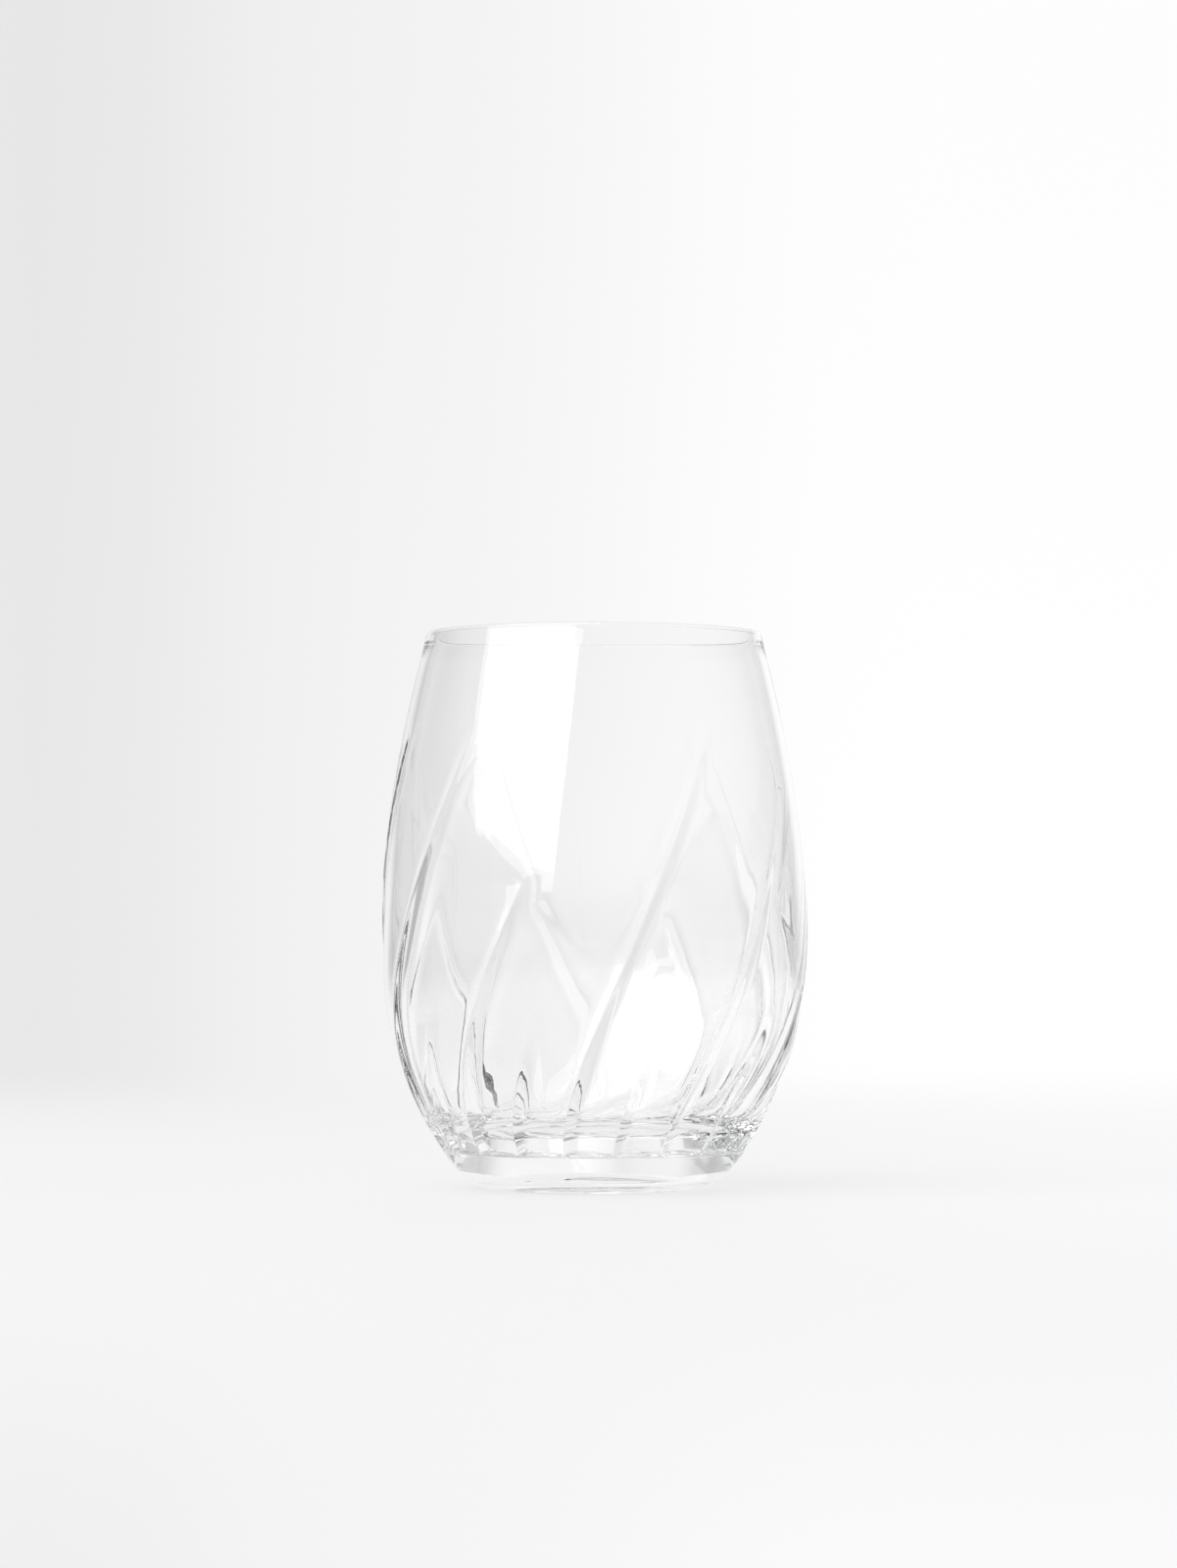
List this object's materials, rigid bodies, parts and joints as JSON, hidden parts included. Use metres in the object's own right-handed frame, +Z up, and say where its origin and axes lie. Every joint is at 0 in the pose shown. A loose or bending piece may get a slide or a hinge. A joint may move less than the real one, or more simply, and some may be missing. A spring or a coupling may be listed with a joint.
{
  "type": "drinking glass",
  "caption": "Clear stemless barrel tumbler with a plain rim, twisted saw-tooth flutes that fade out up its wall, a flat cavity floor and a heavy drawn-in foot.",
  "frame": {"origin": "middle of the flat ring under the foot, on the surface that the glass stands on", "axes": "+Z up along the glass's own axis, out of the mouth; -Y is the side that the reference picture shows"},
  "size_m": [0.0844, 0.085, 0.11],
  "materials": {
    "clear_glass": "fire-polished clear soda-lime glass"
  },
  "bodies": {
    "root": {"glass_body": "clear_glass"}
  },
  "joints": []
}
